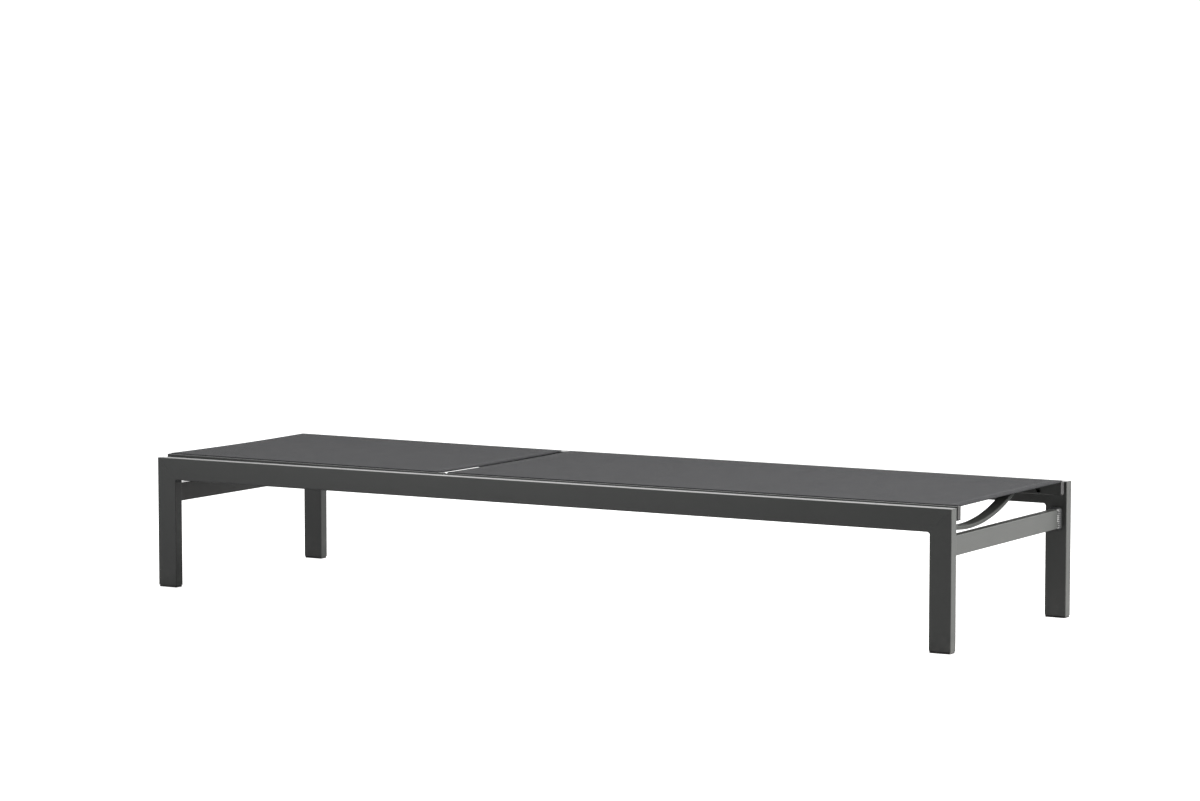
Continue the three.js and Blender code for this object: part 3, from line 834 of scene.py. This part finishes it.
# The head of a plug, rounded at its rim, with a shallow panel and a stem in the tube.
def makePlug(node, body, facing):
    low, high = levelBox(node, body)
    outer = high.x if facing > 0 else low.x
    inner = outer - facing * plugSet["head"]
    xs = sorted((outer, inner))
    piece = newBox(node + "_moulding", (xs[0], low.y, low.z), (xs[1], high.y, high.z))
    startEdit(piece, "FACE")
    pickFaces(lambda face: face.normal.x * facing > 0.99)
    bpy.ops.mesh.inset(thickness=plugSet["rim"])
    bpy.ops.mesh.inset(thickness=plugSet["panelWide"], depth=-plugSet["panelDeep"])
    pickFaces(lambda face: face.normal.x * facing < -0.99)
    bpy.ops.mesh.inset(thickness=plugSet["wall"])
    stem = (low.x if facing > 0 else high.x) - inner
    bpy.ops.mesh.extrude_region_move(TRANSFORM_OT_translate={"value": (stem, 0, 0)})
    bpy.ops.mesh.select_mode(type="EDGE")

    def outside(point):
        reach = slingTube["edge"] / 2
        return (min(abs(point.y - low.y), abs(point.y - high.y)) < reach
                or min(abs(point.z - low.z), abs(point.z - high.z)) < reach)

    def atRim(point):
        return outside(point) and abs(point.x - outer) < 1e-6

    pickEdges(lambda a, b: outside(a) and outside(b) and parallelTo(0)(a, b))
    bpy.ops.mesh.bevel(offset=slingTube["edge"], segments=slingTube["edgeSteps"], affect="EDGES")
    pickEdges(lambda a, b: atRim(a) and atRim(b))
    bpy.ops.mesh.bevel(offset=plugSet["edge"], segments=plugSet["edgeSteps"], affect="EDGES")
    endEdit()
    settle(piece, body, mouldedBlack, [node], angle=40)


for side in sides:
    makeSlingTube(f"seat_{side}_tube", "frame", side)
    makeSlingTube(f"backrest_{side}_tube", "backrest", side)
    makePlug(f"seat_{side}_foot_plug", "frame", 1)
    makePlug(f"seat_{side}_hinge_plug", "frame", -1)
    makePlug(f"backrest_{side}_hinge_plug", "backrest", 1)
    makePlug(f"backrest_{side}_head_plug", "backrest", -1)
print("side tubes and plugs made")


# Bows.

bowSet = {"wide": 27 * mm, "high": 9.5 * mm, "corner": 2.9 * mm, "drop": 63.5 * mm, "steps": 48}
bowBead = {"radius": 2.4 * mm, "pitch": 1.5 * mm, "ripple": 0.1, "along": 1.4}


# An oval section swept round an arc by spin, then cut square against the side tubes.
def makeBow(node, body):
    low, high = levelBox(node, body)
    half = high.y
    radius = (half ** 2 + bowSet["drop"] ** 2) / (2 * bowSet["drop"])
    reach = math.asin((half + bowSet["high"]) / radius)
    x = (low.x + high.x) / 2
    axisZ = low.z + bowSet["high"] / 2 + radius
    deselectAll()
    bpy.ops.mesh.primitive_plane_add(
        size=1, location=(x, -radius * math.sin(reach), axisZ - radius * math.cos(reach)),
        rotation=(-reach - math.pi / 2, 0, 0))
    piece = bpy.context.object
    piece.name = node + "_oval"
    piece.scale = (bowSet["wide"], bowSet["high"], 1)
    placeApply(piece)
    startEdit(piece, "VERT")
    bpy.ops.mesh.select_all(action="SELECT")
    bpy.ops.mesh.bevel(offset=bowSet["corner"], segments=6, affect="VERTICES")
    bpy.ops.mesh.select_all(action="SELECT")
    bpy.ops.mesh.delete(type="ONLY_FACE")
    bpy.ops.mesh.select_all(action="SELECT")
    bpy.ops.mesh.spin(steps=bowSet["steps"], angle=-2 * reach, center=(x, 0, axisZ), axis=(1, 0, 0))
    for sign in (1, -1):
        bpy.ops.mesh.select_all(action="SELECT")
        bpy.ops.mesh.bisect(plane_co=(0, sign * half, 0), plane_no=(0, sign, 0),
                            use_fill=True, clear_outer=True)
    bpy.ops.mesh.select_all(action="SELECT")
    bpy.ops.mesh.remove_doubles(threshold=0.00001)
    bpy.ops.mesh.normals_make_consistent(inside=False)
    endEdit()
    for side, sign in sides.items():
        makeWeldBead(f"{node}_{side}_weld", piece, (0, sign, 0), body, bowBead)
    settle(piece, body, powderCoat, [node], angle=50)


for node in ("seat_foot_bow", "seat_hinge_bow"):
    makeBow(node, "frame")
for node in ("backrest_head_bow", "backrest_hinge_bow"):
    makeBow(node, "backrest")
print("bows made")


# Slings.

slingSet = {"cloth": 1.1 * mm, "sag": 1.2 * mm, "edgeSag": 0.35, "edgeReach": 120 * mm,
            "hollowReach": 200 * mm,
            "hem": 22 * mm, "fold": 2.6 * mm, "foldSteps": 6, "hemHalf": 252 * mm,
            "shoulder": 1.4 * mm, "shoulderSteps": 4, "tuck": 4 * mm, "cellX": 15 * mm, "cellY": 12 * mm}


def easeOver(distance, run):
    t = min(max(distance / run, 0.0), 1.0)
    return t * t * (3 - 2 * t)


# How far the cloth hangs under its taut plane: most along the middle, and a little more at a free edge.
def slingSag(x, y, low, high):
    across = 1 - (y / high.y) ** 2
    edge = min(x - low.x, high.x - x)
    more = slingSet["edgeSag"] * easeOver(edge, slingSet["edgeReach"])
    return slingSet["sag"] * across * (1 + slingSet["edgeSag"] - more)


# How far a free edge curves in between the side tubes.
def edgeHollow(x, y, low, high, hollows):
    across = 1 - (y / high.y) ** 2
    toHigh = hollows[1] * (1 - easeOver(high.x - x, slingSet["hollowReach"]))
    toLow = hollows[0] * (1 - easeOver(x - low.x, slingSet["hollowReach"]))
    return (toLow - toHigh) * across


# A taut sheet with turned-under hems at its free ends, and its long edges tucked into the grooves.
def makeSling(node, body, hollows):
    low, high = levelBox(node, body)
    top = high.z
    flatHalf = high.y - slingSet["shoulder"]
    middleZ = top - slingSet["cloth"] / 2
    length = high.x - low.x
    deselectAll()
    bpy.ops.mesh.primitive_grid_add(
        x_subdivisions=round(length / slingSet["cellX"]),
        y_subdivisions=round(2 * flatHalf / slingSet["cellY"]),
        size=1, location=((low.x + high.x) / 2, 0, middleZ))
    piece = bpy.context.object
    piece.name = node + "_cloth"
    piece.scale = (length, 2 * flatHalf, 1)
    placeApply(piece)

    # The long edges go over the groove's inner lip and down into it.
    startEdit(piece, "EDGE")
    for sign in sides.values():
        pickEdges(lambda a, b: abs(a.y - sign * flatHalf) < 1e-5 and abs(b.y - sign * flatHalf) < 1e-5)
        for step in range(1, slingSet["shoulderSteps"] + 1):
            turn = math.pi / 2 * step / slingSet["shoulderSteps"]
            last = math.pi / 2 * (step - 1) / slingSet["shoulderSteps"]
            bpy.ops.mesh.extrude_region_move(TRANSFORM_OT_translate={"value": (
                0, sign * slingSet["shoulder"] * (math.sin(turn) - math.sin(last)),
                -slingSet["shoulder"] * (math.cos(last) - math.cos(turn)))})
        bpy.ops.mesh.extrude_region_move(
            TRANSFORM_OT_translate={"value": (0, 0, -slingSet["tuck"])})

    # The free ends are turned under and laid back as a hem.
    for facing, x in ((-1, low.x), (1, high.x)):
        pickEdges(lambda a, b: abs(a.x - x) < 1e-5 and abs(b.x - x) < 1e-5
                  and max(abs(a.y), abs(b.y)) < slingSet["hemHalf"])
        for step in range(1, slingSet["foldSteps"] + 1):
            turn = math.pi * step / slingSet["foldSteps"]
            last = math.pi * (step - 1) / slingSet["foldSteps"]
            bpy.ops.mesh.extrude_region_move(TRANSFORM_OT_translate={"value": (
                facing * slingSet["fold"] / 2 * (math.sin(turn) - math.sin(last)), 0,
                -slingSet["fold"] / 2 * (math.cos(last) - math.cos(turn)))})
        for step in range(2):
            bpy.ops.mesh.extrude_region_move(
                TRANSFORM_OT_translate={"value": (-facing * slingSet["hem"] / 2, 0, 0)})
    endEdit()

    for vertex in piece.data.vertices:
        x, y = vertex.co.x, vertex.co.y
        if abs(y) < high.y:
            vertex.co.z -= slingSag(x, y, low, high)
            vertex.co.x += edgeHollow(x, y, low, high, hollows)
    addModifier(piece, "SOLIDIFY", thickness=slingSet["cloth"], offset=0, use_even_offset=True)
    settle(piece, body, slingCloth, [node], angle=60, even=False)
    makeStitches(node, body, low, high, hollows)


stitchSet = {"long": 3.3 * mm, "pitch": 4.4 * mm, "wide": 0.62 * mm, "high": 0.5 * mm,
             "rows": (17 * mm, 19.6 * mm)}


# Rows of lock stitches beside each hem: one stitch is made, then set in an array.
def makeStitches(node, body, low, high, hollows):
    rows = []
    count = int(2 * slingSet["hemHalf"] / stitchSet["pitch"])
    for facing, x in ((-1, low.x), (1, high.x)):
        for inset in stitchSet["rows"]:
            deselectAll()
            bpy.ops.mesh.primitive_uv_sphere_add(
                segments=8, ring_count=5, radius=0.5,
                location=(x - facing * inset, -(count - 1) / 2 * stitchSet["pitch"], high.z),
                rotation=(math.pi / 2, 0, 0),
                scale=(stitchSet["wide"], stitchSet["high"], stitchSet["long"]))
            stitch = bpy.context.object
            placeApply(stitch)
            addModifier(stitch, "ARRAY", count=count, use_relative_offset=False,
                        use_constant_offset=True, constant_offset_displace=(0, stitchSet["pitch"], 0))
            rows.append(stitch)
    piece = joinPieces(node + "_stitching", rows)
    for vertex in piece.data.vertices:
        x, y = vertex.co.x, vertex.co.y
        vertex.co.z -= slingSag(x, y, low, high)
        vertex.co.x += edgeHollow(x, y, low, high, hollows)
    settle(piece, body, hemThread, angle=80, even=False)


makeSling("seat_sling", "frame", (0.0, 8 * mm))
makeSling("backrest_sling", "backrest", (2 * mm, 0.0))
print("slings made")


# Fasteners, bushes and stops.

# A turned part along Y: from a disc, each step moves on and changes the radius.
def turned(name, x, z, steps, vertices=28):
    start = steps[0]
    deselectAll()
    bpy.ops.mesh.primitive_circle_add(
        vertices=vertices, radius=start[0], fill_type="NGON",
        location=(x, start[1], z), rotation=(math.pi / 2, 0, 0))
    piece = bpy.context.object
    piece.name = name
    placeApply(piece)
    startEdit(piece, "FACE")
    bpy.ops.mesh.select_all(action="SELECT")
    for (radius, y), (nextRadius, nextY) in zip(steps, steps[1:]):
        bpy.ops.mesh.extrude_region_move(TRANSFORM_OT_translate={"value": (0, nextY - y, 0)})
        if abs(nextRadius - radius) > 1e-7:
            share = nextRadius / radius
            bpy.ops.transform.resize(value=(share, 1, share), center_override=(x, nextY, z))
    bpy.ops.mesh.select_all(action="SELECT")
    bpy.ops.mesh.normals_make_consistent(inside=False)
    endEdit()
    return piece


# Radii, lengths along Y, and the width of the key's socket. A dome is given by its shares of the head.
seatBoltSet = {"shank": 3 * mm, "head": 5.25 * mm, "headHigh": 3.3 * mm, "nut": 4.5 * mm,
               "nutLong": 9 * mm, "key": 4 * mm}
hingeBoltSet = {"shank": 4 * mm, "head": 8 * mm, "headHigh": 4 * mm, "nut": 6 * mm,
                "nutLong": 11 * mm, "key": 5 * mm}
domeShares = ((0.62, 0.0), (0.80, 0.10), (0.93, 0.32), (1.0, 0.62), (1.0, 1.0))
nutEdge = 0.6 * mm
socketDeep = 0.6  # share of the head's height


# A domed socket screw with its rivet nut beyond the rail's wall.
def makeBolt(node, side, size):
    low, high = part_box(node)
    sign = sides[side]
    head = low.y if sign > 0 else high.y
    far = high.y if sign > 0 else low.y
    x, z = (low.x + high.x) / 2, (low.z + high.z) / 2
    dome = [(size["head"] * share, head + sign * size["headHigh"] * rise) for share, rise in domeShares]
    wall = far - sign * size["nutLong"]
    steps = dome + [(size["shank"], head + sign * size["headHigh"]), (size["shank"], wall),
                    (size["nut"], wall), (size["nut"], far - sign * nutEdge),
                    (size["nut"] - nutEdge, far)]
    piece = turned(node + "_screw", x, z, steps)
    floorOfSocket = head + sign * size["headHigh"] * socketDeep
    cutAway(piece, roundCutter(size["key"], head - sign * 1 * mm, floorOfSocket, x, z, vertices=6))
    settle(piece, "frame", stainless, [node], angle=32)


# A ring along Y with its rims broken: spacers, bushes and the bar's sleeves.
ringSet = {"seatHole": 6.6 * mm, "hingeHole": 8.6 * mm, "barHole": 10.4 * mm, "edge": 0.45 * mm}


def makeRing(node, body, hole):
    low, high = levelBox(node, body)
    x, z = (low.x + high.x) / 2, (low.z + high.z) / 2
    outer = (high.z - low.z) / 2
    deselectAll()
    bpy.ops.mesh.primitive_cylinder_add(
        vertices=36, radius=outer, depth=high.y - low.y, end_fill_type="NOTHING",
        location=(x, (low.y + high.y) / 2, z), rotation=(math.pi / 2, 0, 0))
    piece = bpy.context.object
    piece.name = node + "_ring"
    placeApply(piece)
    addModifier(piece, "SOLIDIFY", thickness=outer - hole / 2, offset=-1)
    addModifier(piece, "BEVEL", width=ringSet["edge"], segments=2, limit_method="ANGLE",
                angle_limit=math.radians(50))
    settle(piece, body, mouldedBlack, [node], angle=32)


railInner = -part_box("right_rail")[1].y
buffer = {"noseIn": 1.4 * mm, "noseEdge": 0.4 * mm, "noseStep": 0.5 * mm, "nose": 1.5 * mm, "gap": 0.3 * mm,
          "ribs": 4, "grooveDeep": 0.8 * mm, "grooveOuter": 0.9 * mm, "grooveInner": 0.3 * mm}


# The rubber buffer: ribbed, with a moulded stud and its rivet nut.
def makeRestStop(side):
    node = side + "_rest_stop"
    low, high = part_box(node)
    sign = sides[side]
    near = low.y if sign > 0 else high.y
    far = high.y if sign > 0 else low.y
    x, z = (low.x + high.x) / 2, (low.z + high.z) / 2
    radius = (high.z - low.z) / 2
    face = sign * (railInner - buffer["gap"])
    steps = [(radius - buffer["noseIn"], near),
             (radius - buffer["noseEdge"], near + sign * buffer["noseStep"]),
             (radius, near + sign * buffer["nose"])]
    span = abs(face - near) - 2 * buffer["nose"]
    groove = radius - buffer["grooveDeep"]
    for i in range(1, buffer["ribs"]):
        y = near + sign * (buffer["nose"] + span * i / buffer["ribs"])
        steps += [(radius, y - sign * buffer["grooveOuter"]), (groove, y - sign * buffer["grooveInner"]),
                  (groove, y + sign * buffer["grooveInner"]), (radius, y + sign * buffer["grooveOuter"])]
    wall = far - sign * seatBoltSet["nutLong"]
    steps += [(radius, face), (seatBoltSet["shank"], face), (seatBoltSet["shank"], wall),
              (seatBoltSet["nut"], wall), (seatBoltSet["nut"], far)]
    piece = turned(node + "_buffer", x, z, steps)
    settle(piece, "frame", blackRubber, [node], angle=32)


for side in sides:
    for i in (1, 2, 3):
        makeBolt(f"seat_{side}_bolt_{i}", side, seatBoltSet)
        makeRing(f"seat_{side}_spacer_{i}", "frame", ringSet["seatHole"])
    makeBolt(f"hinge_{side}_bolt", side, hingeBoltSet)
    makeRing(f"hinge_{side}_bush", "frame", ringSet["hingeHole"])
    makeRing(f"stay_{side}_sleeve", "stay", ringSet["barHole"])
    makeRestStop(side)
print("fasteners, bushes and stops made")


# Stay, lugs and racks.

# Small cut plates keep their CAD outline: merged, cleaned and given softened edges.
def softenPlate(node, body, edge):
    source = frame["nodes"][node]
    deselectAll()
    piece = source.copy()
    piece.data = source.data.copy()
    bpy.context.scene.collection.objects.link(piece)
    for key in list(piece.keys()):
        if key.startswith("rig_"):
            del piece[key]
    piece.parent = None
    piece.matrix_world = Matrix.Identity(4)
    piece.name = node + "_plate"
    startEdit(piece, "VERT")
    bpy.ops.mesh.select_all(action="SELECT")
    bpy.ops.mesh.remove_doubles(threshold=0.02 * mm)
    bpy.ops.mesh.dissolve_limited(angle_limit=math.radians(2))
    endEdit()
    addModifier(piece, "BEVEL", width=edge, segments=3, limit_method="ANGLE", angle_limit=math.radians(40))
    settle(piece, body, powderCoat, [node], angle=32, level=False)


pinSet = {"head": 5 * mm, "high": 2.4 * mm, "shank": 3 * mm, "clip": 5 * mm,
          "clipOut": 1.2 * mm, "edge": 0.5 * mm}


# A clevis pin with a domed head and a push-on clip.
def makePin(side):
    node = f"backrest_{side}_stay_pin"
    low, high = levelBox(node, "backrest")
    sign = sides[side]
    near = low.y if sign > 0 else high.y
    far = high.y if sign > 0 else low.y
    x, z = (low.x + high.x) / 2, (low.z + high.z) / 2
    head, shank, clip = pinSet["head"], pinSet["shank"], pinSet["clip"]
    thick, out = pinSet["high"], pinSet["clipOut"]
    steps = [(head * 0.7, near), (head * 0.92, near + sign * pinSet["edge"]),
             (head, near + sign * out), (head, near + sign * thick),
             (shank, near + sign * thick), (shank, far - sign * thick),
             (clip, far - sign * thick), (clip, far - sign * out),
             (shank, far - sign * out), (shank - pinSet["edge"], far)]
    settle(turned(node + "_turned", x, z, steps), "backrest", stainless, [node], angle=32)


def makeStayBar():
    low, high = levelBox("stay_bar", "stay")
    radius = (high.z - low.z) / 2
    edge = 0.8 * mm
    x, z = (low.x + high.x) / 2, (low.z + high.z) / 2
    steps = [(radius - edge, low.y), (radius, low.y + edge),
             (radius, high.y - edge), (radius - edge, high.y)]
    rod = turned("stay_bar_rod", x, z, steps, vertices=36)
    settle(rod, "stay", stainless, ["stay_bar"], angle=32)


for side in sides:
    softenPlate(f"backrest_{side}_stay_lug", "backrest", 0.5 * mm)
    softenPlate(f"stay_{side}_arm", "stay", 0.8 * mm)
    softenPlate(f"{side}_rack", "frame", 0.4 * mm)
    makePin(side)
makeStayBar()
print("stay, lugs and racks made")

shown = [name for name, node in frame["nodes"].items() if not node.hide_render]
print("nodes still shown as CAD:", shown)
